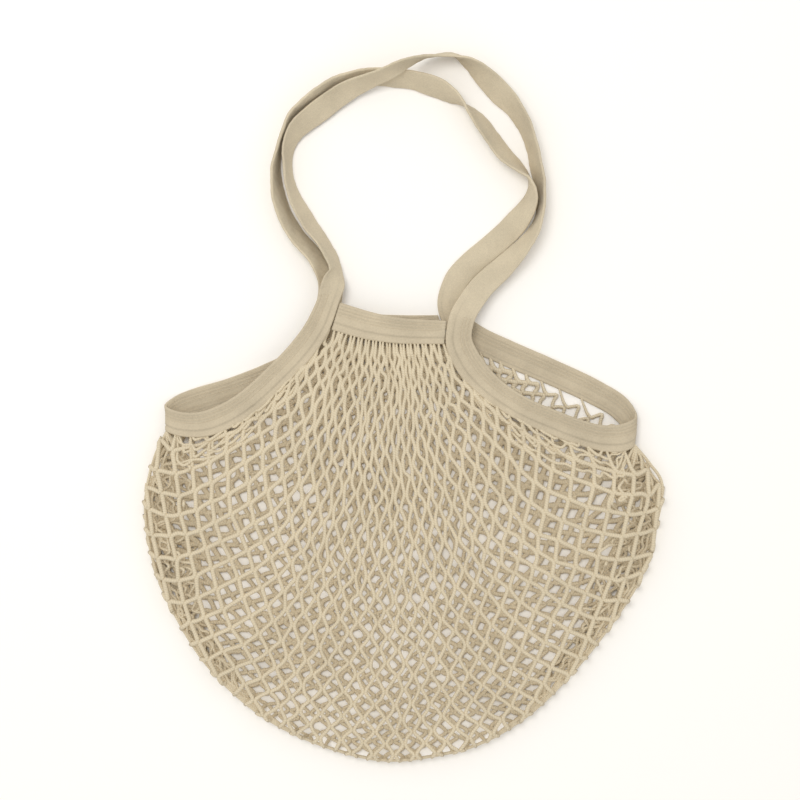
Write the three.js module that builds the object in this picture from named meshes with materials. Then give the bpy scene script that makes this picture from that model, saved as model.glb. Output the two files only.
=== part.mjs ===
// Cotton net shopping bag with tape handles, lying flat on its back layer.
// Millimetres, +Z up, +Y towards the handles, floor at Z = 0.
import * as THREE from 'three';

// Driving dimensions
const TAPE_WIDTH = 19;
const TAPE_THICK = 2.4;
const NET_THICK = 2;
const ROOT_GAP = 1.5;
const NET_SEAM_GAP = 0.7;
const SIDE_SEAM_GAP = 2.8;
const SIDE_TURN_COLUMNS = 3;
const FLOOR_CLEAR = 0.2;
const STATION_STEP = 7;
const FINE_STEPS = 12;
const TILT_SPACING = 20;

// Net: the fold that closes its sides and bottom, the loft of the front layer, the mesh of gaps
const FOLD_RADIUS = 6;
const FOLD_TAPER = 0.07;
const LOFT = 13;
const LOFT_LENGTH = 220;
const SIDE_COLUMNS = 7;
const BAND_COLUMNS = 6;
const NET_COLUMNS = SIDE_COLUMNS * 2 + BAND_COLUMNS;
const NET_ROWS = 8;
const END_ROW = 0.5;
const SUB_STEPS = 3;
const GAP_SHARE = 0.78;
const GATHER_HEIGHT = 2.5;
const GATHER_REACH = 0.5;
const FOLD_ANGLES = [30, -30];

// Heights of the tape's middle: front arms, side folds and back arms, easing into the fold
const FRONT_LEVEL = 16;
const FOLD_LEVEL = 8.5;
const BACK_LEVEL = TAPE_THICK / 2;
const FOLD_DROP = 1.5;
const FOLD_RISE = 0.8;

// Colours of unbleached cotton
const NET_COLOUR = 0xd8ccb0;
const TAPE_COLOUR = 0xe0d6bf;
const COTTON_ROUGHNESS = 0.9;

// Sections across the left binding, from the front handle root round the side fold to the
// back handle root: the mouth edge, the net edge and the height of the tape there.
const LEFT_BINDING = [
  { mouthX: -64, mouthY: 86, netX: -46, netY: 90, z: FRONT_LEVEL },
  { mouthX: -75, mouthY: 64, netX: -57, netY: 58, z: FRONT_LEVEL },
  { mouthX: -86, mouthY: 49, netX: -71, netY: 37, z: FRONT_LEVEL },
  { mouthX: -103, mouthY: 31, netX: -90, netY: 17, z: FRONT_LEVEL },
  { mouthX: -124, mouthY: 12, netX: -113, netY: -4, z: FRONT_LEVEL },
  { mouthX: -142, mouthY: 1, netX: -134, netY: -17, z: FRONT_LEVEL },
  { mouthX: -158, mouthY: -4, netX: -153, netY: -23, z: FRONT_LEVEL },
  { mouthX: -174, mouthY: -3, netX: -172, netY: -22, z: FRONT_LEVEL - FOLD_DROP },
  { mouthX: -183, mouthY: 2, netX: -182, netY: -18, z: FOLD_LEVEL },
  { mouthX: -175, mouthY: 9, netX: -172, netY: -10, z: BACK_LEVEL + FOLD_RISE },
  { mouthX: -160, mouthY: 15, netX: -154, netY: -4, z: BACK_LEVEL },
  { mouthX: -139, mouthY: 21, netX: -132, netY: 3, z: BACK_LEVEL },
  { mouthX: -108, mouthY: 33, netX: -100, netY: 15, z: BACK_LEVEL },
  { mouthX: -89, mouthY: 43, netX: -78, netY: 27, z: BACK_LEVEL },
  { mouthX: -76, mouthY: 58, netX: -59, netY: 47, z: BACK_LEVEL },
  { mouthX: -69, mouthY: 74, netX: -50, netY: 70, z: BACK_LEVEL },
  { mouthX: -66, mouthY: 87, netX: -47, netY: 86, z: BACK_LEVEL },
];

// The same for the right binding
const RIGHT_BINDING = [
  { mouthX: 54.8, mouthY: 68.5, netX: 35.2, netY: 73, z: FRONT_LEVEL },
  { mouthX: 52, mouthY: 54, netX: 32, netY: 50, z: FRONT_LEVEL },
  { mouthX: 59, mouthY: 39, netX: 41, netY: 27, z: FRONT_LEVEL },
  { mouthX: 73, mouthY: 22, netX: 57, netY: 10, z: FRONT_LEVEL },
  { mouthX: 93, mouthY: 8, netX: 85, netY: -9, z: FRONT_LEVEL },
  { mouthX: 118, mouthY: -3, netX: 112, netY: -21, z: FRONT_LEVEL },
  { mouthX: 140, mouthY: -11, netX: 136, netY: -30, z: FRONT_LEVEL },
  { mouthX: 155, mouthY: -14, netX: 153, netY: -34, z: FRONT_LEVEL },
  { mouthX: 170, mouthY: -12, netX: 169, netY: -34, z: FRONT_LEVEL - FOLD_DROP },
  { mouthX: 179, mouthY: -6, netX: 177, netY: -29, z: FOLD_LEVEL },
  { mouthX: 172, mouthY: 7, netX: 163, netY: -9, z: BACK_LEVEL + FOLD_RISE },
  { mouthX: 152, mouthY: 20, netX: 143, netY: 3, z: BACK_LEVEL },
  { mouthX: 116, mouthY: 37, netX: 108, netY: 19, z: BACK_LEVEL },
  { mouthX: 84, mouthY: 51, netX: 75, netY: 33, z: BACK_LEVEL },
  { mouthX: 61, mouthY: 62, netX: 49, netY: 46, z: BACK_LEVEL },
  { mouthX: 48, mouthY: 72, netX: 31, netY: 62, z: BACK_LEVEL },
  { mouthX: 44, mouthY: 81, netX: 25, netY: 80, z: BACK_LEVEL },
];

// Which of those sections are the side fold and the corners where the bands begin
const LEFT_SECTIONS = { frontCorner: 1, fold: 8, backCorner: 14.3 };
const RIGHT_SECTIONS = { frontCorner: 1, fold: 9, backCorner: 15 };

// Sections along the bands, from left to right
const FRONT_BAND = [
  { mouthX: -48.5, mouthY: 80, netX: -55, netY: 59, z: FRONT_LEVEL },
  { mouthX: -22, mouthY: 72, netX: -30, netY: 52, z: FRONT_LEVEL },
  { mouthX: 0, mouthY: 68, netX: -4, netY: 48.5, z: FRONT_LEVEL },
  { mouthX: 32.6, mouthY: 66, netX: 31, netY: 48, z: FRONT_LEVEL },
];
const BACK_BAND = [
  { mouthX: -47, mouthY: 76, netX: -54.4, netY: 54, z: BACK_LEVEL },
  { mouthX: -22, mouthY: 72, netX: -28, netY: 53, z: BACK_LEVEL },
  { mouthX: 0, mouthY: 71, netX: -2, netY: 52, z: BACK_LEVEL },
  { mouthX: 26.5, mouthY: 71, netX: 31, netY: 59, z: BACK_LEVEL },
];

// The fold line of the net seen from above, from the left side fold round the bottom to the right
const FOLD_LINE = [
  { x: -193, y: -39 },
  { x: -200, y: -75 },
  { x: -193, y: -122 },
  { x: -175, y: -164 },
  { x: -150, y: -202 },
  { x: -109, y: -239 },
  { x: -59, y: -263 },
  { x: -15, y: -273 },
  { x: 22, y: -270 },
  { x: 60, y: -260 },
  { x: 98, y: -237 },
  { x: 130, y: -206 },
  { x: 160, y: -169 },
  { x: 184, y: -131 },
  { x: 195, y: -94 },
  { x: 200, y: -58 },
  { x: 190, y: -42 },
];

// Sections along the handles between their left and right roots. low is the height of the lower
// edge over the floor, tilt is 0 where the tape lies flat, 90 where it stands on its inner edge,
// and more where the outer edge leans over into the loop.
const FRONT_HANDLE = [
  { x: -53.5, y: 97, low: 11, tilt: 32 },
  { x: -52, y: 105, low: 3, tilt: 64 },
  { x: -56, y: 116, low: 0, tilt: 62 },
  { x: -64, y: 129, low: 0, tilt: 61 },
  { x: -73, y: 141.5, low: 0, tilt: 55 },
  { x: -80.5, y: 154.5, low: 0, tilt: 60 },
  { x: -86, y: 167, low: 0, tilt: 67 },
  { x: -89, y: 180.5, low: 0, tilt: 73 },
  { x: -89.5, y: 193.5, low: 0, tilt: 72 },
  { x: -86.7, y: 205.3, low: 1, tilt: 63 },
  { x: -80.7, y: 214.7, low: 2, tilt: 50 },
  { x: -64.5, y: 228.3, low: 2, tilt: 32 },
  { x: -46.5, y: 241, low: 3, tilt: 45 },
  { x: -26.5, y: 249.5, low: 7, tilt: 62 },
  { x: -13, y: 254, low: 13, tilt: 66 },
  { x: -3, y: 258, low: 19, tilt: 73 },
  { x: 10.5, y: 265.5, low: 11, tilt: 92 },
  { x: 28, y: 270.2, low: 2, tilt: 101 },
  { x: 39, y: 270.2, low: 0, tilt: 101 },
  { x: 48.5, y: 265.5, low: 0, tilt: 80 },
  { x: 60, y: 256.5, low: 0, tilt: 50 },
  { x: 73.5, y: 243, low: 0, tilt: 30 },
  { x: 86, y: 229, low: 0, tilt: 54 },
  { x: 94.5, y: 213.5, low: 0, tilt: 65 },
  { x: 99.5, y: 198.5, low: 0, tilt: 68 },
  { x: 102.5, y: 184.5, low: 0, tilt: 66 },
  { x: 106, y: 167, low: 0, tilt: 74 },
  { x: 105, y: 149, low: 2, tilt: 78 },
  { x: 98.5, y: 132.5, low: 3, tilt: 63 },
  { x: 89, y: 120.5, low: 4, tilt: 48 },
  { x: 76.5, y: 107.5, low: 4, tilt: 26 },
  { x: 60, y: 92, low: 8.5, tilt: 10 },
];
const BACK_HANDLE = [
  { x: -56, y: 96, low: 0, tilt: 14 },
  { x: -66.5, y: 114, low: 0, tilt: 50 },
  { x: -84, y: 135, low: 0, tilt: 52 },
  { x: -93.5, y: 154.5, low: 0, tilt: 58 },
  { x: -98, y: 179.5, low: 0, tilt: 72 },
  { x: -94.5, y: 202, low: 0, tilt: 84 },
  { x: -85, y: 223.5, low: 0, tilt: 78 },
  { x: -66, y: 240, low: 0, tilt: 70 },
  { x: -49.5, y: 249, low: 0, tilt: 66 },
  { x: -31, y: 253.5, low: 0, tilt: 61 },
  { x: -10.5, y: 253.5, low: 0, tilt: 53 },
  { x: 7.5, y: 251, low: 0, tilt: 53 },
  { x: 24.5, y: 246, low: 0, tilt: 44 },
  { x: 38.5, y: 238, low: 0, tilt: 70 },
  { x: 44, y: 234.5, low: 0, tilt: 88 },
  { x: 52, y: 227.5, low: 0, tilt: 114 },
  { x: 60, y: 218, low: 0, tilt: 126 },
  { x: 72.5, y: 201, low: 0, tilt: 132 },
  { x: 79.5, y: 192.5, low: 0, tilt: 132 },
  { x: 90.5, y: 182.5, low: 0, tilt: 114 },
  { x: 96.5, y: 175.5, low: 0, tilt: 95 },
  { x: 98.3, y: 165.5, low: 0, tilt: 70 },
  { x: 94, y: 153, low: 0, tilt: 43 },
  { x: 83, y: 138, low: 0, tilt: 8 },
  { x: 68, y: 124, low: 0, tilt: 0 },
  { x: 52, y: 110.5, low: 0, tilt: 0 },
  { x: 41, y: 98, low: 0, tilt: 0 },
];

// A smooth curve through points, passing the i-th point at parameter i / (count - 1)
function curveThrough(points) {
  return new THREE.CatmullRomCurve3(points, false, 'centripetal');
}

// Parameters at even distances along the stretch of a curve between two parameters
function evenParameters(curve, from, to, count) {
  const fine = count * FINE_STEPS;
  const parameters = [from];
  const lengths = [0];
  let last = curve.getPoint(from);
  for (let i = 1; i <= fine; i += 1) {
    const parameter = from + ((to - from) * i) / fine;
    const point = curve.getPoint(parameter);
    parameters.push(parameter);
    lengths.push(lengths[i - 1] + point.distanceTo(last));
    last = point;
  }
  const even = [from];
  let at = 1;
  for (let i = 1; i <= count; i += 1) {
    const want = (lengths[fine] * i) / count;
    while (at < fine && lengths[at] < want) {
      at += 1;
    }
    const share = (want - lengths[at - 1]) / (lengths[at] - lengths[at - 1]);
    even.push(THREE.MathUtils.lerp(parameters[at - 1], parameters[at], share));
  }
  return even;
}

// A middle surface: points and triangles, later thickened to both sides
function newSurface() {
  return { points: [], triangles: [] };
}

function addPoint(surface, point) {
  surface.points.push(point);
  return surface.points.length - 1;
}

function addTriangle(surface, a, b, c) {
  if (a !== b && b !== c && c !== a) {
    surface.triangles.push([a, b, c]);
  }
}

// Mean direction of the triangles round each point, weighted by their areas
function pointNormals(surface) {
  const normals = surface.points.map(() => new THREE.Vector3());
  for (const [a, b, c] of surface.triangles) {
    const ab = surface.points[b].clone().sub(surface.points[a]);
    const ac = surface.points[c].clone().sub(surface.points[a]);
    const area = ab.cross(ac);
    for (const corner of [a, b, c]) {
      normals[corner].add(area);
    }
  }
  return normals.map((normal) => normal.normalize());
}

// Closed solid of even thickness about a middle surface, with walls along its free edges
function thicken(surface, thickness) {
  const normals = pointNormals(surface);
  const count = surface.points.length;
  const positions = [];
  for (const side of [0.5, -0.5]) {
    surface.points.forEach((point, i) => {
      const shifted = point.clone().addScaledVector(normals[i], thickness * side);
      positions.push(shifted.x, shifted.y, shifted.z);
    });
  }
  const index = [];
  const edges = new Map();
  for (const [a, b, c] of surface.triangles) {
    index.push(a, b, c, count + c, count + b, count + a);
    for (const [from, to] of [[a, b], [b, c], [c, a]]) {
      const back = `${to},${from}`;
      if (edges.has(back)) {
        edges.delete(back);
      } else {
        edges.set(`${from},${to}`, [from, to]);
      }
    }
  }
  for (const [from, to] of edges.values()) {
    index.push(from, count + from, to, to, count + from, count + to);
  }
  const geometry = new THREE.BufferGeometry();
  geometry.setAttribute('position', new THREE.Float32BufferAttribute(positions, 3));
  geometry.setIndex(index);
  geometry.computeVertexNormals();
  return geometry;
}

// Ribbon between two edges that are given point by point
function ribbon(leftEdge, rightEdge) {
  const surface = newSurface();
  leftEdge.forEach((point, i) => {
    addPoint(surface, point);
    addPoint(surface, rightEdge[i]);
    if (i > 0) {
      const near = 2 * i;
      addTriangle(surface, near - 2, near - 1, near);
      addTriangle(surface, near, near - 1, near + 1);
    }
  });
  return surface;
}

function edgeCurves(sections) {
  const mouth = sections.map((row) => new THREE.Vector3(row.mouthX, row.mouthY, row.z));
  const net = sections.map((row) => new THREE.Vector3(row.netX, row.netY, row.z));
  return { mouth: curveThrough(mouth), net: curveThrough(net) };
}

// A point of a sewn tape's edge, no lower than a tape that lies on the floor
function edgePoint(curve, parameter) {
  const point = curve.getPoint(parameter);
  point.z = Math.max(point.z, BACK_LEVEL);
  return point;
}

// Tape sewn along the net, given by its two edges
function edgeTape(sections) {
  const { mouth, net } = edgeCurves(sections);
  const steps = Math.ceil(Math.max(mouth.getLength(), net.getLength()) / STATION_STEP);
  const mouthEdge = [];
  const netEdge = [];
  for (let i = 0; i <= steps; i += 1) {
    mouthEdge.push(edgePoint(mouth, i / steps));
    netEdge.push(edgePoint(net, i / steps));
  }
  return thicken(ribbon(mouthEdge, netEdge), TAPE_THICK);
}

// End of a binding where a handle goes on: its outer and inner edge and the way along the handle
function handleRoot(section) {
  const outer = new THREE.Vector3(section.mouthX, section.mouthY, section.z);
  const inner = new THREE.Vector3(section.netX, section.netY, section.z);
  const along = new THREE.Vector3(outer.y - inner.y, inner.x - outer.x, 0).normalize();
  const middle = outer.clone().add(inner).multiplyScalar(0.5);
  middle.z -= TAPE_THICK / 2;
  return { outer, inner, along, middle };
}

// Free tape of a handle, given by its middle line, its tilt and the height of its lower edge,
// set back from its two roots by the seam gap
function handleTape(sections, leftSection, rightSection) {
  const left = handleRoot(leftSection);
  const right = handleRoot(rightSection);
  const places = sections.map((row) => new THREE.Vector3(row.x, row.y, row.low));
  const route = curveThrough([left.middle, ...places, right.middle]);
  const turns = [0, ...sections.map((row) => row.tilt), 0];
  const tilts = curveThrough(turns.map((tilt, i) => new THREE.Vector3(tilt, TILT_SPACING * i, 0)));
  const steps = Math.ceil(route.getLength() / STATION_STEP);
  const outer = [left.outer.addScaledVector(left.along, ROOT_GAP)];
  const inner = [left.inner.addScaledVector(left.along, ROOT_GAP)];
  for (let i = 1; i < steps; i += 1) {
    const at = i / steps;
    const along = route.getTangent(at);
    const turn = THREE.MathUtils.degToRad(tilts.getPoint(at).x);
    const across = new THREE.Vector3(-along.y, along.x, 0).normalize();
    across.multiplyScalar(Math.cos(turn));
    across.z = Math.sin(turn);
    const middle = route.getPoint(at);
    const rise = Math.sin(turn) * TAPE_WIDTH + Math.abs(Math.cos(turn)) * TAPE_THICK;
    middle.z = Math.max(middle.z, FLOOR_CLEAR) + rise / 2;
    outer.push(middle.clone().addScaledVector(across, TAPE_WIDTH / 2));
    inner.push(middle.clone().addScaledVector(across, -TAPE_WIDTH / 2));
  }
  outer.push(right.outer.addScaledVector(right.along, -ROOT_GAP));
  inner.push(right.inner.addScaledVector(right.along, -ROOT_GAP));
  return thicken(ribbon(inner, outer), TAPE_THICK);
}

// Net edge of a sewn tape between two of its sections, with the tape's direction towards the net
function tapeSeam(sections, from, to, steps) {
  const { mouth, net } = edgeCurves(sections);
  const last = sections.length - 1;
  return evenParameters(net, from / last, to / last, steps).map((parameter) => {
    const edge = edgePoint(net, parameter);
    const away = edge.clone().sub(edgePoint(mouth, parameter)).normalize();
    return { edge, away };
  });
}

// The edge of one net layer from the left side fold along both bindings and the band to the
// right side fold, with an even number of stations in each stretch. The net keeps the seam gap
// from the tape, and a wider one where it turns round the side folds.
function mouthSeam(band, leftCorner, rightCorner) {
  const side = SIDE_COLUMNS * SUB_STEPS;
  const left = tapeSeam(LEFT_BINDING, LEFT_SECTIONS.fold, leftCorner, side);
  const right = tapeSeam(RIGHT_BINDING, rightCorner, RIGHT_SECTIONS.fold, side);
  const middle = tapeSeam(band, 0, band.length - 1, BAND_COLUMNS * SUB_STEPS);
  const seam = [...left.slice(0, -1), ...middle, ...right.slice(1)];
  return seam.map(({ edge, away }, i) => {
    const fromFold = Math.min(i, seam.length - 1 - i);
    const turning = 1 - THREE.MathUtils.smoothstep(fromFold, 0, SUB_STEPS * SIDE_TURN_COLUMNS);
    return edge.addScaledVector(away, NET_SEAM_GAP + SIDE_SEAM_GAP * turning);
  });
}

// The two-layer net with its gaps
function netPouch() {
  const stations = NET_COLUMNS * SUB_STEPS;
  const front = mouthSeam(FRONT_BAND, LEFT_SECTIONS.frontCorner, RIGHT_SECTIONS.frontCorner);
  const back = mouthSeam(BACK_BAND, LEFT_SECTIONS.backCorner, RIGHT_SECTIONS.backCorner);
  const floor = NET_THICK / 2;
  const foldCurve = curveThrough([
    front[0],
    ...FOLD_LINE.map((row) => new THREE.Vector3(row.x, row.y, floor + FOLD_RADIUS)),
    front[stations],
  ]);
  const foldLine = evenParameters(foldCurve, 0, 1, stations).map((at) => foldCurve.getPoint(at));

  // The fold is a half round that tapers to a point at each side fold of the bindings
  const foldRadius = (u) => {
    return FOLD_RADIUS * THREE.MathUtils.smoothstep(Math.min(u, 1 - u), 0, FOLD_TAPER);
  };
  const inward = foldLine.map((point, i) => {
    const before = foldLine[Math.max(i - 1, 0)];
    const after = foldLine[Math.min(i + 1, stations)];
    return new THREE.Vector3(before.y - after.y, after.x - before.x, 0).normalize();
  });
  const foldPoint = (station, angle) => {
    const radius = foldRadius(station / stations);
    const turn = THREE.MathUtils.degToRad(angle);
    const point = foldLine[station].clone();
    point.addScaledVector(inward[station], radius * (1 - Math.cos(turn)));
    point.z += radius * Math.sin(turn);
    return point;
  };

  // A point of the front or back layer, v running from the mouth seam to the fold
  const layerPoint = (isFront, station, v) => {
    const seam = isFront ? front[station] : back[station];
    const fold = foldPoint(station, isFront ? 90 : -90);
    const point = seam.clone().lerp(fold, v);
    const u = station / stations;
    if (isFront) {
      const column = station / SUB_STEPS;
      const bulge = Math.min(1, seam.distanceTo(fold) / LOFT_LENGTH);
      const gather = Math.max(0, 1 - Math.abs(u - 0.5) / (BAND_COLUMNS / NET_COLUMNS));
      const reach = Math.sin(Math.PI * Math.min(1, v / GATHER_REACH));
      point.z += LOFT * bulge * Math.sin(Math.PI * v) ** 2;
      point.z += GATHER_HEIGHT * gather * reach * Math.cos(Math.PI * column);
    } else if (v > 0 && v < 1) {
      point.z = floor + (fold.z - floor) * v;
    } else if (v === 0) {
      point.z = Math.max(floor, point.z - (BACK_LEVEL - floor));
    }
    return point;
  };

  const surface = newSurface();
  const sidePoints = {
    0: addPoint(surface, foldLine[0]),
    [stations]: addPoint(surface, foldLine[stations]),
  };
  const known = new Map();
  const named = (key, station, make) => {
    if (station in sidePoints) {
      return sidePoints[station];
    }
    if (!known.has(key)) {
      known.set(key, addPoint(surface, make()));
    }
    return known.get(key);
  };
  // The first and last rows are half as deep, so that the gaps come close to the seam and the fold
  const rowShare = (row) => THREE.MathUtils.clamp((row - END_ROW) / (NET_ROWS - 2 * END_ROW), 0, 1);
  const knot = (isFront, station, row) => {
    const make = () => layerPoint(isFront, station, rowShare(row));
    return named(`${isFront} ${station} ${row}`, station, make);
  };
  const foldKnot = (station, angle) => {
    if (Math.abs(angle) === 90) {
      return knot(angle > 0, station, NET_ROWS);
    }
    return named(`fold ${station} ${angle}`, station, () => foldPoint(station, angle));
  };

  for (const isFront of [true, false]) {
    const face = (a, b, c) => {
      addTriangle(surface, a, isFront ? b : c, isFront ? c : b);
    };
    for (let column = 1; column < NET_COLUMNS; column += 1) {
      const at = (columnShift, row) => {
        return knot(isFront, (column + columnShift) * SUB_STEPS, row);
      };
      for (let row = 0; row <= NET_ROWS; row += 1) {
        if ((column + row) % 2 === 1) {
          const atSeam = row === 0;
          const atFold = row === NET_ROWS;
          if (atSeam || atFold) {
            // Half mesh along the seam or the fold, left whole
            const apex = at(0, atSeam ? 1 : NET_ROWS - 1);
            const first = (column - 1) * SUB_STEPS;
            for (let step = 0; step < 2 * SUB_STEPS; step += 1) {
              const a = knot(isFront, first + step, row);
              const b = knot(isFront, first + step + 1, row);
              face(apex, atSeam ? b : a, atSeam ? a : b);
            }
          } else {
            const rim = [at(-1, row), at(0, row + 1), at(1, row), at(0, row - 1)];
            const isSide = column === 1 || column === NET_COLUMNS - 1;
            if (isSide) {
              face(rim[0], rim[1], rim[3]);
              face(rim[1], rim[2], rim[3]);
            } else {
              // One mesh of the net: four bars round a gap
              const centre = new THREE.Vector3();
              rim.forEach((corner) => centre.addScaledVector(surface.points[corner], 1 / 4));
              const hole = rim.map((corner) => {
                return addPoint(surface, centre.clone().lerp(surface.points[corner], GAP_SHARE));
              });
              for (let side = 0; side < 4; side += 1) {
                const next = (side + 1) % 4;
                face(rim[side], rim[next], hole[side]);
                face(hole[side], rim[next], hole[next]);
              }
            }
          }
        }
      }
    }
  }

  // The rounded fold joins the two layers
  const ring = [90, ...FOLD_ANGLES, -90];
  for (let band = 0; band + 1 < ring.length; band += 1) {
    for (let station = 0; station < stations; station += 1) {
      const a = foldKnot(station, ring[band]);
      const b = foldKnot(station + 1, ring[band]);
      const c = foldKnot(station, ring[band + 1]);
      const d = foldKnot(station + 1, ring[band + 1]);
      addTriangle(surface, a, c, b);
      addTriangle(surface, b, c, d);
    }
  }
  return thicken(surface, NET_THICK);
}

function cotton(colour) {
  return new THREE.MeshStandardMaterial({ color: colour, roughness: COTTON_ROUGHNESS, metalness: 0 });
}

function piece(name, geometry, colour) {
  const mesh = new THREE.Mesh(geometry, cotton(colour));
  mesh.name = name;
  return mesh;
}

const frontHandle = handleTape(FRONT_HANDLE, LEFT_BINDING[0], RIGHT_BINDING[0]);
const backHandle = handleTape(BACK_HANDLE, LEFT_BINDING.at(-1), RIGHT_BINDING.at(-1));

const bag = new THREE.Group();
bag.add(piece('net_pouch', netPouch(), NET_COLOUR));
bag.add(piece('front_band', edgeTape(FRONT_BAND), TAPE_COLOUR));
bag.add(piece('back_band', edgeTape(BACK_BAND), TAPE_COLOUR));
bag.add(piece('left_binding', edgeTape(LEFT_BINDING), TAPE_COLOUR));
bag.add(piece('right_binding', edgeTape(RIGHT_BINDING), TAPE_COLOUR));
bag.add(piece('front_handle', frontHandle, TAPE_COLOUR));
bag.add(piece('back_handle', backHandle, TAPE_COLOUR));

export default bag;
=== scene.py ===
"""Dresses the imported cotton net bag: woven tapes, stitching, knitted net, floor, light and camera."""

import math
from collections import namedtuple

import bpy
import numpy as np
from bpy.props import FloatProperty, FloatVectorProperty, IntProperty, PointerProperty
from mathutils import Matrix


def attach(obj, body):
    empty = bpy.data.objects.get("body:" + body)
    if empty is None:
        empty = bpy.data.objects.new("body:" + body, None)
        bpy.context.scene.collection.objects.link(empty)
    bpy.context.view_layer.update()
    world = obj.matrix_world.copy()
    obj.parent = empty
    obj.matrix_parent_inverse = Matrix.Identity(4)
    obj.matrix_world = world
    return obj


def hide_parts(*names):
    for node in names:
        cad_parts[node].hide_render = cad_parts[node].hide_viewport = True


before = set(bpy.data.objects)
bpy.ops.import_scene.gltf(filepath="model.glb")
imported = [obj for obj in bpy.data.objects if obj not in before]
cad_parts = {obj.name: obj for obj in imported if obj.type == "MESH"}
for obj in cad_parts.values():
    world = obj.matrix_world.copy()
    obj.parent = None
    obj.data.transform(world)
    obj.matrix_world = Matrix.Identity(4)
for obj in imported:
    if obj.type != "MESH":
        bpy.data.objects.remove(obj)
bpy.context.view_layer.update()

bl_info = {
    "name": "Cotton Net Bag",
    "version": (1, 0, 0),
    "blender": (4, 5, 0),
    "location": "View3D > Sidebar > Net Bag",
    "description": "Makes the tapes, stitching and knitted net of a cotton shopping bag that lies flat",
    "category": "Object",
}

MM = 0.001
BODY = "root"
TAPE_SLOT = "cotton_tape"
NET_SLOT = "cotton_net"

# Heights of the tape's middle in millimetres: front arms, side folds and back arms, and how far the
# arms drop and rise next to the folds
FRONT_LEVEL = 16
FOLD_LEVEL = 8.5
BACK_LEVEL = 1.2
FOLD_DROP = 1.5
FOLD_RISE = 0.8

# Least height of a handle's lower edge in millimetres
FLOOR_CLEAR = 0.2

# Form of the net in millimetres: radius of its fold, loft of the front layer, and the length of net
# from seam to fold that has all of that loft
FOLD_RADIUS = 6
LOFT = 13
LOFT_LENGTH = 220

# A section across a sewn tape: its mouth edge, its net edge and its height, in millimetres
Section = namedtuple("Section", "mouth_x mouth_y net_x net_y z")

# A place along a handle: its middle, the height of its lower edge in millimetres, and its tilt in
# degrees, 0 where the tape lies flat, 90 where it stands on its inner edge, and more where the outer
# edge leans over into the loop
Place = namedtuple("Place", "x y low tilt")

# From the front handle root round the side fold to the back handle root
LEFT_BINDING = [
    Section(-64, 86, -46, 90, FRONT_LEVEL),
    Section(-75, 64, -57, 58, FRONT_LEVEL),
    Section(-86, 49, -71, 37, FRONT_LEVEL),
    Section(-103, 31, -90, 17, FRONT_LEVEL),
    Section(-124, 12, -113, -4, FRONT_LEVEL),
    Section(-142, 1, -134, -17, FRONT_LEVEL),
    Section(-158, -4, -153, -23, FRONT_LEVEL),
    Section(-174, -3, -172, -22, FRONT_LEVEL - FOLD_DROP),
    Section(-183, 2, -182, -18, FOLD_LEVEL),
    Section(-175, 9, -172, -10, BACK_LEVEL + FOLD_RISE),
    Section(-160, 15, -154, -4, BACK_LEVEL),
    Section(-139, 21, -132, 3, BACK_LEVEL),
    Section(-108, 33, -100, 15, BACK_LEVEL),
    Section(-89, 43, -78, 27, BACK_LEVEL),
    Section(-76, 58, -59, 47, BACK_LEVEL),
    Section(-69, 74, -50, 70, BACK_LEVEL),
    Section(-66, 87, -47, 86, BACK_LEVEL),
]
RIGHT_BINDING = [
    Section(54.8, 68.5, 35.2, 73, FRONT_LEVEL),
    Section(52, 54, 32, 50, FRONT_LEVEL),
    Section(59, 39, 41, 27, FRONT_LEVEL),
    Section(73, 22, 57, 10, FRONT_LEVEL),
    Section(93, 8, 85, -9, FRONT_LEVEL),
    Section(118, -3, 112, -21, FRONT_LEVEL),
    Section(140, -11, 136, -30, FRONT_LEVEL),
    Section(155, -14, 153, -34, FRONT_LEVEL),
    Section(170, -12, 169, -34, FRONT_LEVEL - FOLD_DROP),
    Section(179, -6, 177, -29, FOLD_LEVEL),
    Section(172, 7, 163, -9, BACK_LEVEL + FOLD_RISE),
    Section(152, 20, 143, 3, BACK_LEVEL),
    Section(116, 37, 108, 19, BACK_LEVEL),
    Section(84, 51, 75, 33, BACK_LEVEL),
    Section(61, 62, 49, 46, BACK_LEVEL),
    Section(48, 72, 31, 62, BACK_LEVEL),
    Section(44, 81, 25, 80, BACK_LEVEL),
]

# Which of those sections are the corners of the bands and the side folds
LEFT_MARKS = {"front": 1, "fold": 8, "back": 14.3}
RIGHT_MARKS = {"front": 1, "fold": 9, "back": 15}

# The bands between the handle roots, from left to right
FRONT_BAND = [
    Section(-48.5, 80, -55, 59, FRONT_LEVEL),
    Section(-22, 72, -30, 52, FRONT_LEVEL),
    Section(0, 68, -4, 48.5, FRONT_LEVEL),
    Section(32.6, 66, 31, 48, FRONT_LEVEL),
]
BACK_BAND = [
    Section(-47, 76, -54.4, 54, BACK_LEVEL),
    Section(-22, 72, -28, 53, BACK_LEVEL),
    Section(0, 71, -2, 52, BACK_LEVEL),
    Section(26.5, 71, 31, 59, BACK_LEVEL),
]

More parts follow.
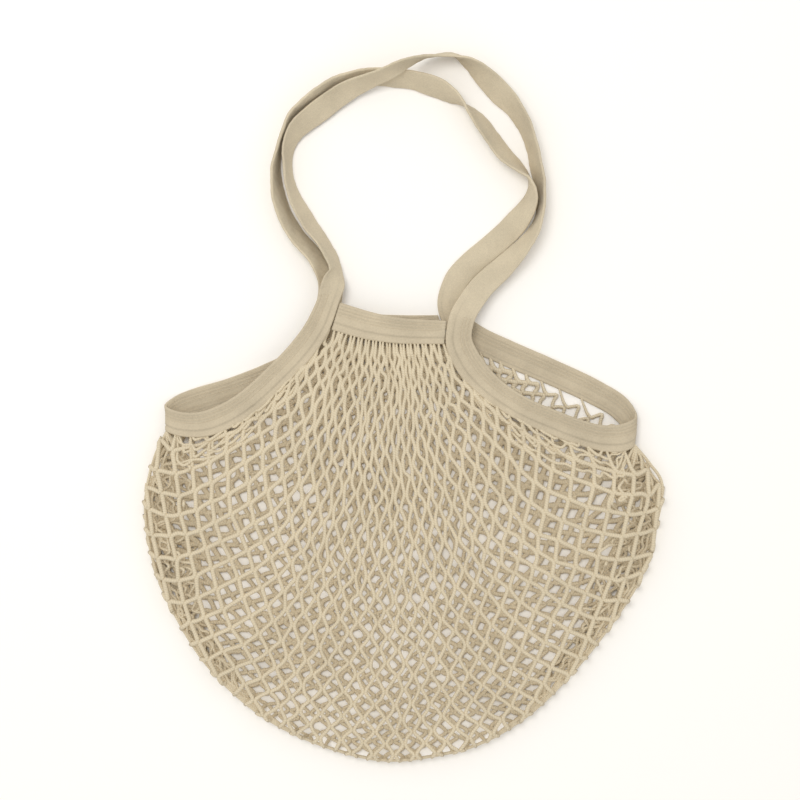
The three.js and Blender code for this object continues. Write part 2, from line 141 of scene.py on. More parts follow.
# The handles from their left roots round the loop to their right roots
FRONT_HANDLE = [
    Place(-53.5, 97, 11, 32),
    Place(-52, 105, 3, 64),
    Place(-56, 116, 0, 62),
    Place(-64, 129, 0, 61),
    Place(-73, 141.5, 0, 55),
    Place(-80.5, 154.5, 0, 60),
    Place(-86, 167, 0, 67),
    Place(-89, 180.5, 0, 73),
    Place(-89.5, 193.5, 0, 72),
    Place(-86.7, 205.3, 1, 63),
    Place(-80.7, 214.7, 2, 50),
    Place(-64.5, 228.3, 2, 32),
    Place(-46.5, 241, 3, 45),
    Place(-26.5, 249.5, 7, 62),
    Place(-13, 254, 13, 66),
    Place(-3, 258, 19, 73),
    Place(10.5, 265.5, 11, 92),
    Place(28, 270.2, 2, 101),
    Place(39, 270.2, 0, 101),
    Place(48.5, 265.5, 0, 80),
    Place(60, 256.5, 0, 50),
    Place(73.5, 243, 0, 30),
    Place(86, 229, 0, 54),
    Place(94.5, 213.5, 0, 65),
    Place(99.5, 198.5, 0, 68),
    Place(102.5, 184.5, 0, 66),
    Place(106, 167, 0, 74),
    Place(105, 149, 2, 78),
    Place(98.5, 132.5, 3, 63),
    Place(89, 120.5, 4, 48),
    Place(76.5, 107.5, 4, 26),
    Place(60, 92, 8.5, 10),
]
BACK_HANDLE = [
    Place(-56, 96, 0, 14),
    Place(-66.5, 114, 0, 50),
    Place(-84, 135, 0, 52),
    Place(-93.5, 154.5, 0, 58),
    Place(-98, 179.5, 0, 72),
    Place(-94.5, 202, 0, 84),
    Place(-85, 223.5, 0, 78),
    Place(-66, 240, 0, 70),
    Place(-49.5, 249, 0, 66),
    Place(-31, 253.5, 0, 61),
    Place(-10.5, 253.5, 0, 53),
    Place(7.5, 251, 0, 53),
    Place(24.5, 246, 0, 44),
    Place(38.5, 238, 0, 70),
    Place(44, 234.5, 0, 88),
    Place(52, 227.5, 0, 114),
    Place(60, 218, 0, 126),
    Place(72.5, 201, 0, 132),
    Place(79.5, 192.5, 0, 132),
    Place(90.5, 182.5, 0, 114),
    Place(96.5, 175.5, 0, 95),
    Place(98.3, 165.5, 0, 70),
    Place(94, 153, 0, 43),
    Place(83, 138, 0, 8),
    Place(68, 124, 0, 0),
    Place(52, 110.5, 0, 0),
    Place(41, 98, 0, 0),
]

# The fold line of the net seen from above, from the left side fold round the bottom to the right
FOLD_LINE = [
    (-193, -39), (-200, -75), (-193, -122), (-175, -164), (-150, -202), (-109, -239),
    (-59, -263), (-15, -273), (22, -270), (60, -260), (98, -237), (130, -206), (160, -169),
    (184, -131), (195, -94), (200, -58), (190, -42),
]


# Sizes and colours that a user would change

def length_setting(name, description, millimetres):
    return FloatProperty(name=name, description=description, default=millimetres * MM, unit="LENGTH")


def share_setting(name, description, default, most=0.9):
    return FloatProperty(name=name, description=description, default=default, min=0, max=most)


def count_setting(name, description, default, least=0):
    return IntProperty(name=name, description=description, default=default, min=least)


def colour_setting(name, description, default):
    return FloatVectorProperty(
        name=name, description=description, default=default, size=3, subtype="COLOR", min=0, max=1)


class BagTapeSettings(bpy.types.PropertyGroup):
    """Woven tape of the bands, bindings and handles"""

    width: length_setting("Width", "Width of the tape", 19)
    thickness: length_setting("Thickness", "Thickness of the folded tape", 2.2)
    station: length_setting("Station", "Distance between cross sections", 1.6)
    relief: length_setting("Relief", "Height of the soft waves along the tape", 0.4)
    cup: length_setting("Cup", "How far the edges of the handles curl up", 0.6)
    stitch_pitch: length_setting("Stitch pitch", "Distance from stitch to stitch", 2.6)
    stitch_length: length_setting("Stitch length", "Length of a stitch", 2.4)
    thread: length_setting("Thread", "Thickness of the sewing thread", 0.55)
    weave: length_setting("Weave", "Distance from yarn to yarn in the tape", 0.9)
    colour: colour_setting("Colour", "Colour of the unbleached tape", (0.59, 0.5, 0.355))
    # The paler colour of the free handles is a painted highlight for the light they catch
    lit_handle_colour: colour_setting("Handle colour", "Colour of the paler free tape", (0.64, 0.55, 0.395))
    thread_colour: colour_setting("Thread colour", "Colour of the sewing thread", (0.61, 0.515, 0.365))
    seed: count_setting("Seed", "Seed of the tape's unevenness", 5)


class BagNetSettings(bpy.types.PropertyGroup):
    """Knitted net of the pouch"""

    strand: length_setting("Strand", "Thickness of a strand", 2.8)
    bar: length_setting("Bar", "Length of a strand from knot to knot", 14)
    knot: share_setting("Knot", "How far apart two strands lie at a knot, in strands", 0.7, most=1)
    columns: count_setting("Columns", "Half meshes from the left side fold to the right", 54, least=8)
    crowd: share_setting("Crowd", "How much closer the columns are in the middle", 0.3)
    gather: share_setting("Gather", "How much closer the rows are below the bands", 0.45)
    pleat: length_setting("Pleat", "Height of the uneven pleats below the bands", 1.2)
    slack: length_setting("Slack", "Length of net that is bunched at each side", 22)
    edge_strands: count_setting("Edge strands", "Strands along the fold at each side", 11, least=1)
    seam_strands: count_setting("Seam strands", "Strands bunched along each front binding", 5)
    crumple: length_setting("Crumple", "How far the bunched meshes are pushed about", 2.4)
    sag: share_setting("Sag", "How much closer the rows of the slack back layer are", 0.53)
    patches: share_setting("Patches", "How uneven the thickness of the back strands is", 0.14, most=0.3)
    swell: share_setting("Swell", "How much thicker the slack strands at the sides are", 0.3, most=1)
    sway: length_setting("Sway", "How far the meshes wander from their even places", 2)
    seed: count_setting("Seed", "Seed of the net's unevenness", 11)
    colour: colour_setting("Colour", "Colour of the unbleached yarn", (0.685, 0.586, 0.416))


class BagStageSettings(bpy.types.PropertyGroup):
    """Floor, light and camera"""

    floor_colour: colour_setting("Floor", "Colour of the pale floor", (0.94, 0.91, 0.86))
    sky: FloatProperty(
        name="Sky", description="Strength of the even light from all round", default=0.8, min=0)
    key: FloatProperty(
        name="Key", description="Power of the large soft lamp above the bag", default=16, unit="POWER")
    camera_height: length_setting("Camera height", "Height of the camera over the bag", 1300)
    field: length_setting("Field", "Width of the picture at the bag", 614.4)


# Curves and meshes

def spline(points, at):
    """Smooth centripetal curve through points, passing point i at parameter i / (count - 1)."""
    points = np.asarray(points, float)
    ends = [2 * points[0] - points[1], 2 * points[-1] - points[-2]]
    padded = np.vstack([ends[:1], points, ends[1:]])
    spans = len(points) - 1
    place = np.clip(np.asarray(at, float) * spans, 0, spans)
    index = np.minimum(place.astype(int), spans - 1)
    share = (place - index)[:, None]
    p0, p1, p2, p3 = (padded[index + k] for k in range(4))
    d0, d1, d2 = (
        np.maximum(np.linalg.norm(b - a, axis=1, keepdims=True) ** 0.5, 1e-4)
        for a, b in ((p0, p1), (p1, p2), (p2, p3))
    )
    t1 = ((p1 - p0) / d0 - (p2 - p0) / (d0 + d1) + (p2 - p1) / d1) * d1
    t2 = ((p2 - p1) / d1 - (p3 - p1) / (d1 + d2) + (p3 - p2) / d2) * d1
    square = -3 * p1 + 3 * p2 - 2 * t1 - t2
    cube = 2 * p1 - 2 * p2 + t1 + t2
    return p1 + t1 * share + square * share**2 + cube * share**3


def unit(vectors):
    return vectors / np.maximum(np.linalg.norm(vectors, axis=-1, keepdims=True), 1e-12)


def arc_lengths(line):
    steps = np.linalg.norm(np.diff(line, axis=0), axis=1)
    return np.concatenate([[0], np.cumsum(steps)])


def rows_at(want, lengths, rows):
    """Rows of numbers at the wanted lengths."""
    return np.stack([np.interp(want, lengths, column) for column in rows.T], axis=-1)


def smoothstep(value, low, high):
    share = np.clip((value - low) / (high - low), 0, 1)
    return share * share * (3 - 2 * share)


def smoothed(rows, passes):
    """Rows of a closed loop averaged with their neighbours, a few times over."""
    for _ in range(passes):
        rows = (np.roll(rows, 1, axis=0) + 2 * rows + np.roll(rows, -1, axis=0)) / 4
    return rows


def carried_sides(way):
    """Directions across a line that turn with it as little as they can."""
    side = np.cross(way[0], (0, 0, 1))
    sides = []
    for direction in way:
        side = unit(side - direction * (side @ direction))
        sides.append(side)
    return np.array(sides)


def rings_round(line, sizes, side, up, count):
    """Rings of points round the points of a line, which turn from its side to its up direction."""
    angles = np.linspace(0, math.tau, count, endpoint=False)[None, :, None]
    circle = np.cos(angles) * side[:, None] + np.sin(angles) * up[:, None]
    return line[:, None] + sizes[:, None, None] * circle


def wave_field(generator, length, count=7, spread=(0.7, 1.4)):
    """A smooth uneven function of places in a plane, of about unit size, with waves of about that
    length."""
    ways = unit(generator.normal(size=(count, 2)))
    turns = math.tau / (length * generator.uniform(*spread, size=(count, 1)))
    starts = generator.uniform(0, math.tau, size=count)

    def field(x, y):
        places = np.stack(np.broadcast_arrays(x, y), axis=-1)
        return np.sin(places @ (ways * turns).T + starts).sum(axis=-1) * math.sqrt(2 / count)

    return field


def line_waves(generator, lengths, along):
    """Uneven waves of a few lengths along a line."""
    return [wave_field(generator, length)(along, 0 * along) for length in lengths]


def new_object(name, points, faces, uvs, material, flat=()):
    """A mesh object with one UV pair for each corner of each face, smooth apart from the flat faces."""
    mesh = bpy.data.meshes.new(name)
    mesh.from_pydata(points.tolist(), [], faces)
    layer = mesh.uv_layers.new(name="UVMap")
    layer.data.foreach_set("uv", np.asarray(uvs, np.float32).ravel())
    smooth = np.ones(len(mesh.polygons), bool)
    smooth[list(flat)] = False
    mesh.polygons.foreach_set("use_smooth", smooth)
    mesh.materials.append(material)
    mesh.update()
    obj = bpy.data.objects.new(name, mesh)
    bpy.context.scene.collection.objects.link(obj)
    return obj


class MeshParts:
    """Points, faces and UV pairs of many tubes that become one mesh."""

    def __init__(self):
        self.points = []
        self.faces = []
        self.uvs = []
        self.caps = []
        self.count = 0

    def add_tube(self, rings, along, around):
        """A capped tube through rings of points, with a U for each ring and a V for each side."""
        sections, sides = rings.shape[:2]
        first = self.count
        self.points.append(rings.reshape(-1, 3))
        self.count += sections * sides
        i, j = (grid.ravel() for grid in np.mgrid[0:sections - 1, 0:sides])
        next_j = (j + 1) % sides
        corners = [i * sides + j, i * sides + next_j, (i + 1) * sides + next_j, (i + 1) * sides + j]
        self.faces.extend((first + np.stack(corners, axis=1)).tolist())
        u0, u1, v0, v1 = along[i], along[i + 1], around[j], around[j + 1]
        self.uvs.append(np.stack([u0, v0, u0, v1, u1, v1, u1, v0], axis=1).reshape(-1, 2))
        for ring, order in ((0, np.arange(sides)[::-1]), (sections - 1, np.arange(sides))):
            self.caps.append(len(self.faces))
            self.faces.append((first + ring * sides + order).tolist())
            self.uvs.append(np.stack([np.full(sides, along[ring]), around[order]], axis=1))

    def object(self, name, material):
        points, uvs = np.vstack(self.points), np.vstack(self.uvs)
        return new_object(name, points, self.faces, uvs, material, self.caps)


def settle(obj, slot, *nodes):
    """The piece rides on the bag and stands for the CAD nodes, which it hides. The slot is not used."""
    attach(obj, BODY)
    if nodes:
        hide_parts(*nodes)
    return obj


# Materials

# Length of a turn of the sewing thread and of a stitch of the knitted yarn
THREAD_PITCH = 0.8 * MM
YARN_PITCH = 1.9 * MM

# Width and darkness of the painted shade in the groove along a row of stitches and along the hem
SEAM_SHADE_LINE = (0.9 * MM, 0.1)
HEM_SHADE_LINE = (1.1 * MM, 0.16)

# The node of a cotton material that a tape's own colour and the painted shade of its seams go into
TONE_NODE = "Tone"

# Kinds of sockets of the shader groups
NUMBER = "NodeSocketFloat"
INPUT_KINDS = {"Colour": "NodeSocketColor", "Vector": "NodeSocketVector"}


def add_node(tree, kind, **settings):
    node = tree.nodes.new(kind)
    for name, value in settings.items():
        setattr(node, name, value)
    return node


def math_node(tree, operation, first, second=None):
    """The output of one Math node whose inputs are sockets or numbers."""
    node = add_node(tree, "ShaderNodeMath", operation=operation)
    for socket, value in zip(node.inputs, (first, second)):
        if isinstance(value, bpy.types.NodeSocket):
            tree.links.new(value, socket)
        elif value is not None:
            socket.default_value = value
    return node.outputs[0]


def new_group(name, first, numbers, kind, outputs):
    """An empty shader group with named sockets, and its input and output nodes. The first input is a
    colour or a vector, the others are numbers, and the outputs are of one kind."""
    group = bpy.data.node_groups.new(name, "ShaderNodeTree")
    group.interface.new_socket(first, in_out="INPUT", socket_type=INPUT_KINDS[first])
    for label, value in numbers.items():
        socket = group.interface.new_socket(label, in_out="INPUT", socket_type=NUMBER)
        socket.default_value = value
    for label in outputs:
        group.interface.new_socket(label, in_out="OUTPUT", socket_type=kind)
    return group, add_node(group, "NodeGroupInput"), add_node(group, "NodeGroupOutput")


def cotton_tone_group():
    """Uneven colour of unbleached cotton: broad light and dark patches, and small flecks."""
    name = "Cotton tone"
    if name in bpy.data.node_groups:
        return bpy.data.node_groups[name]
    numbers = {"Amount": 0.1, "Patch": 40.0, "Fleck": 900.0, "Shade": 0.0}
    group, source, target = new_group(name, "Colour", numbers, INPUT_KINDS["Colour"], ["Colour"])
    place = add_node(group, "ShaderNodeTexCoord")
    # The Shade input darkens the colour: painted shade from the gaps between the yarns and along the
    # seams
    brightness = math_node(group, "SUBTRACT", 1.0, source.outputs["Shade"])
    for size, share in (("Patch", 1.0), ("Fleck", 0.8)):
        noise = add_node(group, "ShaderNodeTexNoise")
        group.links.new(place.outputs["Object"], noise.inputs["Vector"])
        group.links.new(source.outputs[size], noise.inputs["Scale"])
        centred = math_node(group, "SUBTRACT", noise.outputs["Fac"], 0.5)
        scaled = math_node(group, "MULTIPLY", centred, source.outputs["Amount"])
        brightness = math_node(group, "ADD", brightness, math_node(group, "MULTIPLY", scaled, 2 * share))
    tint = add_node(group, "ShaderNodeVectorMath", operation="SCALE")
    group.links.new(source.outputs["Colour"], tint.inputs[0])
    group.links.new(brightness, tint.inputs["Scale"])
    group.links.new(tint.outputs[0], target.inputs["Colour"])
    return group


def cloth_group(name, height_of):
    """The height of a cloth's yarns over a UV map, which a function works out, and the gaps between
    them."""
    if name in bpy.data.node_groups:
        return bpy.data.node_groups[name]
    group, source, target = new_group(name, "Vector", {"Pitch": MM}, NUMBER, ["Height", "Gap"])
    split = add_node(group, "ShaderNodeSeparateXYZ")
    group.links.new(source.outputs["Vector"], split.inputs[0])
    height = height_of(group, split.outputs["X"], split.outputs["Y"], source.outputs["Pitch"])
    group.links.new(height, target.inputs["Height"])
    group.links.new(math_node(group, "SUBTRACT", 1.0, height), target.inputs["Gap"])
    return group


def weave_height(group, u, v, pitch):
    """Plain weave over a UV map in metres."""
    turn = math_node(group, "DIVIDE", math.tau / 2, pitch)
    sines = [math_node(group, "SINE", math_node(group, "MULTIPLY", place, turn)) for place in (u, v)]
    return math_node(group, "ABSOLUTE", math_node(group, "MULTIPLY", *sines))


def yarn_height(group, u, v, pitch):
    """Chain stitches along a knitted strand: U runs along it in metres, V once round it."""
    length = math_node(group, "DIVIDE", u, pitch)
    folded = math_node(group, "PINGPONG", math_node(group, "MULTIPLY", v, 2.0), 0.5)
    slanted = math_node(group, "ADD", length, folded)
    sine = math_node(group, "SINE", math_node(group, "MULTIPLY", slanted, math.tau))
    return math_node(group, "ADD", math_node(group, "MULTIPLY", sine, 0.5), 0.5)


def seam_group():
    """Narrow lines along a UV map in metres at one place across it."""
    name = "Seam line"
    if name in bpy.data.node_groups:
        return bpy.data.node_groups[name]
    group, source, target = new_group(name, "Vector", {"Row": 0.0, "Width": MM}, NUMBER, ["Line"])
    split = add_node(group, "ShaderNodeSeparateXYZ")
    group.links.new(source.outputs["Vector"], split.inputs[0])
    apart = math_node(group, "SUBTRACT", split.outputs["Y"], source.outputs["Row"])
    share = math_node(group, "DIVIDE", math_node(group, "ABSOLUTE", apart), source.outputs["Width"])
    line = math_node(group, "SUBTRACT", 1.0, math_node(group, "MINIMUM", share, 1.0))
    group.links.new(line, target.inputs["Line"])
    return group


def cotton_material(name, colour, yarns, pitch, relief, shade, amount):
    """Matt cotton with the relief of its weave or yarn, with painted shade in the gaps between its yarns
    by the shade, and uneven in colour by the amount."""
    if name in bpy.data.materials:
        return bpy.data.materials[name]
    material = bpy.data.materials.new(name)
    material.use_nodes = True
    tree = material.node_tree
    shader = tree.nodes["Principled BSDF"]
    shader.inputs["Roughness"].default_value = 0.9
    shader.inputs["Specular IOR Level"].default_value = 0.2
    shader.inputs["Sheen Weight"].default_value = 0.1
    shader.inputs["Sheen Roughness"].default_value = 0.5
    uv = add_node(tree, "ShaderNodeUVMap", uv_map="UVMap")
    cloth = add_node(tree, "ShaderNodeGroup", node_tree=yarns)
    cloth.inputs["Pitch"].default_value = pitch
    tree.links.new(uv.outputs["UV"], cloth.inputs["Vector"])
    tone = add_node(tree, "ShaderNodeGroup", node_tree=cotton_tone_group())
    tone.inputs["Colour"].default_value = (*colour, 1)
    tone.inputs["Amount"].default_value = amount
    tone.name = TONE_NODE
    # Painted shade: the colour is darker in the gaps between the yarns
    painted_shade = math_node(tree, "MULTIPLY", cloth.outputs["Gap"], shade)
    tree.links.new(painted_shade, tone.inputs["Shade"])
    tree.links.new(tone.outputs["Colour"], shader.inputs["Base Color"])
    bump = add_node(tree, "ShaderNodeBump")
    bump.inputs["Strength"].default_value = 0.6
    bump.inputs["Distance"].default_value = relief
    tree.links.new(cloth.outputs["Height"], bump.inputs["Height"])
    tree.links.new(bump.outputs["Normal"], shader.inputs["Normal"])
    return material


def tape_material(settings):
    """Woven tape, with painted shade along the grooves of its seams where it is sewn to the net, and
    paler where it is free, a painted highlight for the light that the free handles catch."""
    name = "woven_tape"
    if name in bpy.data.materials:
        return bpy.data.materials[name]
    material = cotton_material(
        name, settings.colour, cloth_group("Plain weave", weave_height), settings.weave,
        relief=0.25 * MM, shade=0.14, amount=0.17)
    tree = material.node_tree
    tone = tree.nodes[TONE_NODE]
    sewn = add_node(tree, "ShaderNodeAttribute", attribute_name=SEWN_SHARE).outputs["Fac"]
    # Free tape takes the paler colour, a painted highlight on the handles; sewn tape keeps the tape's
    # own colour
    colour = add_node(tree, "ShaderNodeMix", data_type="RGBA")
    tree.links.new(sewn, colour.inputs["Factor"])
    for side, value in (("A", settings.lit_handle_colour), ("B", settings.colour)):
        socket = next(s for s in colour.inputs if s.name == side and s.type == "RGBA")
        socket.default_value = (*value, 1)
    result = next(s for s in colour.outputs if s.type == "RGBA")
    tree.links.new(result, tone.inputs["Colour"])
    uv = add_node(tree, "ShaderNodeUVMap", uv_map="UVMap")
    painted_shade = tone.inputs["Shade"].links[0].from_socket
    # Painted shade in the grooves along the rows of stitches and the hem, where the tape is sewn
    for row, (width, depth) in [*((row, SEAM_SHADE_LINE) for row in SEAM_ROWS), (HEM_ROW, HEM_SHADE_LINE)]:
        seam = add_node(tree, "ShaderNodeGroup", node_tree=seam_group())
        seam.inputs["Row"].default_value = row
        seam.inputs["Width"].default_value = width
        tree.links.new(uv.outputs["UV"], seam.inputs["Vector"])
        line = math_node(tree, "MULTIPLY", seam.outputs["Line"], depth)
        painted_shade = math_node(tree, "ADD", painted_shade, math_node(tree, "MULTIPLY", line, sewn))
    tree.links.new(painted_shade, tone.inputs["Shade"])
    return material


def thread_material(settings):
    return cotton_material(
        "sewing_thread", settings.thread_colour, cloth_group("Knitted yarn", yarn_height), THREAD_PITCH,
        relief=0.1 * MM, shade=0.2, amount=0.06)


def net_material(settings):
    return cotton_material(
        "net_yarn", settings.colour, cloth_group("Knitted yarn", yarn_height), YARN_PITCH,
        relief=0.35 * MM, shade=0.12, amount=0.09)


# Tapes

# Rows of stitches across the tape from its middle, the mouth side being negative, the edge of the hem
# that is rolled over the net, and the width and depths of the grooves along them
SEAM_ROWS = (-6.4 * MM, -3.9 * MM, -1.4 * MM)
HEM_ROW = 5.4 * MM
SEAM_WIDTH = 0.7 * MM
SEAM_DEPTH = 0.22 * MM
HEM_DEPTH = 0.5 * MM

# Share of those depths that free tape has
FREE_SEAM = 0.1

# Lengths of the tape's soft waves, how high the small ones are, and where the waves die out at its ends
WAVE_LENGTHS = (24 * MM, 7 * MM)
SMALL_WAVES = 0.4
END_FADE = 12 * MM

# How far the middle of free tape sinks, as a share of what its edges curl up
CURL_MIDDLE = 0.4

# How far a stitch goes towards the tips of an ellipse, how far its middle stands above the groove in
# threads, its cross sections and their sides
STITCH_TAPER = 0.92
STITCH_PROUD = 0.2
STITCH_SECTIONS = 5
STITCH_SIDES = 6

# Faces across one side of the tape, least stations along it, and curve points for each section or
# place of the tables
ACROSS_STEPS = 22
LEAST_STATIONS = 8
CURVE_STEPS = 40

# The mesh attribute that tells the share in which a tape is sewn to the net and not free
SEWN_SHARE = "sewn"

# Where a handle leaves a binding: passes that smooth the tape, and the distances within which they
# tell fully and at all
ROOT_PASSES = 20
ROOT_REACH = (8 * MM, 24 * MM)

# Spacing that gives the tilts a curve of their own
TILT_SPACING = 20


class Tape:
    """Even cross sections along a tape in metres, from its mouth or outer edge to its other edge."""

    def __init__(self, mouth, net, settings, generator, closed=False, sewn=None):
        self.settings = settings
        self.closed = closed
        self.at = np.arange(len(mouth)) * settings.station
        self.length = self.at[-1]
        self.middle = (mouth + net) / 2
        self.across = unit(net - mouth)
        self.half_width = np.linalg.norm(net - mouth, axis=1) / 2
        if closed:
            way = np.roll(self.middle, -1, axis=0) - np.roll(self.middle, 1, axis=0)
        else:
            way = np.gradient(self.middle, axis=0)
        self.normal = unit(np.cross(self.across, way))
        self.sewn = np.ones(len(mouth)) if sewn is None else sewn
        self.broad_waves, self.small_waves = (wave_field(generator, length) for length in WAVE_LENGTHS)

    def lift(self, at, across, half_width, sewn):
        """How far soft waves and the curl of free tape raise its middle layer."""
        ends = smoothstep(np.minimum(at, self.length - at), 0, END_FADE)
        wave = self.broad_waves(at, across) + SMALL_WAVES * self.small_waves(at, across)
        curl = (across / half_width) ** 2 - CURL_MIDDLE
        return self.settings.relief / 2 * wave * ends + self.settings.cup * curl * (1 - sewn)

    def half_height(self, across, half_width, sewn):
        """Half of the tape's thickness, rounded off at its edges and drawn in along its seams."""
        radius = self.settings.thickness / 2
        into_edge = np.maximum(np.abs(across) - (half_width - radius), 0)
        rounded = np.sqrt(np.maximum(radius**2 - into_edge**2, 0))
        sunk = HEM_DEPTH * np.exp(-(((across - HEM_ROW) / SEAM_WIDTH) ** 2))
        for row in SEAM_ROWS:
            sunk = sunk + SEAM_DEPTH * np.exp(-(((across - row) / SEAM_WIDTH) ** 2))
        depth = FREE_SEAM + (1 - FREE_SEAM) * sewn
        return rounded * (1 - sunk * depth / radius)

    def rings(self):
        """Points round each cross section, and their places across the tape."""
        spread = np.sin(np.linspace(-math.pi / 2, math.pi / 2, ACROSS_STEPS + 1))
        half_width, sewn = self.half_width[:, None], self.sewn[:, None]
        across = spread[None, :] * half_width
        half = self.half_height(across, half_width, sewn)
        lift = self.lift(self.at[:, None], across, half_width, sewn)
        inner = slice(-2, 0, -1)
        side = np.concatenate([across, across[:, inner]], axis=1)
        height = np.concatenate([lift + half, (lift - half)[:, inner]], axis=1)
        points = (
            self.middle[:, None]
            + side[..., None] * self.across[:, None]
            + height[..., None] * self.normal[:, None]
        )
        points[..., 2] = np.maximum(points[..., 2], 0)
        turn = np.concatenate([spread, spread[inner], spread[:1]]) * self.settings.width / 2
        return points[:, ::-1], turn[::-1]

    def add_stitches(self, parts, start, end):
        """Rows of short rounded stitches on both faces between two lengths."""
        settings = self.settings
        pitch = settings.stitch_pitch
        starts = np.arange(start + pitch, end - pitch, pitch)
        reach = np.linspace(-0.5, 0.5, STITCH_SECTIONS)
        at = (starts[:, None] + reach[None, :] * settings.stitch_length).ravel()
        middle, side, normal = (rows_at(at, self.at, r) for r in (self.middle, self.across, self.normal))
        half_width = np.interp(at, self.at, self.half_width)
        sewn = np.interp(at, self.at, self.sewn)
        turn = np.linspace(0, 1, STITCH_SIDES + 1)
        size = np.tile(settings.thread / 2 * np.sqrt(1 - (2 * STITCH_TAPER * reach) ** 2), len(starts))
        for row in SEAM_ROWS:
            across = np.full(len(at), row)
            half = self.half_height(across, half_width, sewn) + settings.thread * STITCH_PROUD
            lift = self.lift(at, across, half_width, sewn)
            for face in (1, -1):
                line = middle + side * row + normal * (lift + face * half)[:, None]
                rings = rings_round(line, size, side, -normal, STITCH_SIDES)
                rings[..., 2] = np.maximum(rings[..., 2], 0)
                for stitch in rings.reshape(len(starts), STITCH_SECTIONS, STITCH_SIDES, 3):
                    parts.add_tube(stitch, reach * settings.stitch_length, turn)


def ring_normals(rings):
    """Outward normals of a tube that closes on itself, at each point of its rings."""
    along = np.roll(rings, -1, axis=0) - np.roll(rings, 1, axis=0)
    around = np.roll(rings, -1, axis=1) - np.roll(rings, 1, axis=1)
    return unit(np.cross(around, along))


def edges_of(sections):
    """The mouth edge and the net edge of a sewn tape in metres, finely spaced."""
    at = np.linspace(0, 1, len(sections) * CURVE_STEPS)
    mouth = spline([(s.mouth_x, s.mouth_y, s.z) for s in sections], at)
    net = spline([(s.net_x, s.net_y, s.z) for s in sections], at)
    for edge in (mouth, net):
        edge[:, 2] = np.maximum(edge[:, 2], BACK_LEVEL)
    return mouth * MM, net * MM


def handle_edges(places, left_root, right_root, settings):
    """The outer edge and the inner edge of a handle in metres, from root to root."""
    width = settings.width / MM
    thick = settings.thickness / MM
    ends = []
    for root in (left_root, right_root):
        outer = np.array([root.mouth_x, root.mouth_y, root.z])
        inner = np.array([root.net_x, root.net_y, root.z])
        ends.append((outer, inner))
    middles = [np.append((outer + inner)[:2] / 2, outer[2] - thick / 2) for outer, inner in ends]
    points = [middles[0], *[(p.x, p.y, p.low) for p in places], middles[1]]
    at = np.linspace(0, 1, len(points) * CURVE_STEPS)
    route = spline(points, at)
    tilts = [0, *[p.tilt for p in places], 0]
    turn = np.radians(spline([(tilt, TILT_SPACING * i, 0) for i, tilt in enumerate(tilts)], at)[:, 0])
    along = unit(np.gradient(route, axis=0))
    across = unit(np.stack([-along[:, 1], along[:, 0], np.zeros(len(at))], axis=1))
    across *= np.cos(turn)[:, None]
    across[:, 2] = np.sin(turn)
    rise = np.sin(turn) * width + np.abs(np.cos(turn)) * thick
    route[:, 2] = np.maximum(route[:, 2], FLOOR_CLEAR) + rise / 2
    outer = route + across * width / 2
    inner = route - across * width / 2
    outer[0], inner[0] = ends[0]
    outer[-1], inner[-1] = ends[1]
    return outer * MM, inner * MM


def even_stations(mouth, net, settings):
    """The two edges at even distances along the tape's middle line."""
    lengths = arc_lengths((mouth + net) / 2)
    want = np.linspace(0, lengths[-1], max(LEAST_STATIONS, round(lengths[-1] / settings.station)) + 1)
    return rows_at(want, lengths, mouth), rows_at(want, lengths, net)


def loop_tape(settings, generator):
    """The one closed tape that runs round the side mouths and the handles, and the first and last
    station of each of its four stretches."""
    front = handle_edges(FRONT_HANDLE, LEFT_BINDING[0], RIGHT_BINDING[0], settings)
    back = handle_edges(BACK_HANDLE, LEFT_BINDING[-1], RIGHT_BINDING[-1], settings)
    stretches = {
        "left_binding": edges_of(LEFT_BINDING[::-1]),
        "front_handle": front,
        "right_binding": edges_of(RIGHT_BINDING),
        "back_handle": [edge[::-1] for edge in back],
    }
    edges = {name: even_stations(*pair, settings) for name, pair in stretches.items()}
    spans = {}
    count = 0
    for name, (mouth, _) in edges.items():
        spans[name] = (count, count + len(mouth) - 1)
        count += len(mouth) - 1
    mouth, net = (np.vstack([pair[k][:-1] for pair in edges.values()]) for k in (0, 1))

    # The tape runs on smoothly where the handles leave the bindings
    stations = np.arange(count)
    apart = [np.abs(stations - start) for start, _ in spans.values()]
    nearest = np.min([np.minimum(steps, count - steps) for steps in apart], axis=0) * settings.station
    blend = 1 - smoothstep(nearest, *ROOT_REACH)
    half_width = smoothed(np.linalg.norm(net - mouth, axis=1) / 2, ROOT_PASSES)
    soft = [smoothed(edge, ROOT_PASSES) for edge in (mouth, net)]
    mouth, net = (edge + (s - edge) * blend[:, None] for edge, s in zip((mouth, net), soft))
    middle = (mouth + net) / 2
    reach = unit(net - mouth) * half_width[:, None]
    sewn = np.zeros(count)
    for name in ("left_binding", "right_binding"):
        sewn[slice(*spans[name])] = 1
    sewn = smoothed(sewn, 4 * ROOT_PASSES)
    return Tape(middle - reach, middle + reach, settings, generator, closed=True, sewn=sewn), spans


def make_tape(name, tape, start, end):
    """One stretch of a tape in place of the CAD node of that name."""
    settings = tape.settings
    points, turn = tape.rings()
    stations = np.arange(start, end + 1)
    picked = stations % len(points)
    parts = MeshParts()
    parts.add_tube(points[picked], stations * settings.station, turn)
    obj = settle(parts.object("woven_" + name, tape_material(settings)), TAPE_SLOT, name)
    share = obj.data.attributes.new(SEWN_SHARE, "FLOAT", "POINT")
    share.data.foreach_set("value", np.repeat(tape.sewn[picked], points.shape[1]).astype(np.float32))
    if tape.closed:
        # The shading runs on where the closed tape is split
        obj.data.normals_split_custom_set_from_vertices(ring_normals(points)[picked].reshape(-1, 3))


# Net

# The place in plan that the net's columns of meshes run out from, above its gathered bands, and the
# angles from straight down that they spread over
FAN_CENTRE = (-10 * MM, 195 * MM)
FAN_ANGLES = np.radians((-38.6, 39.3))

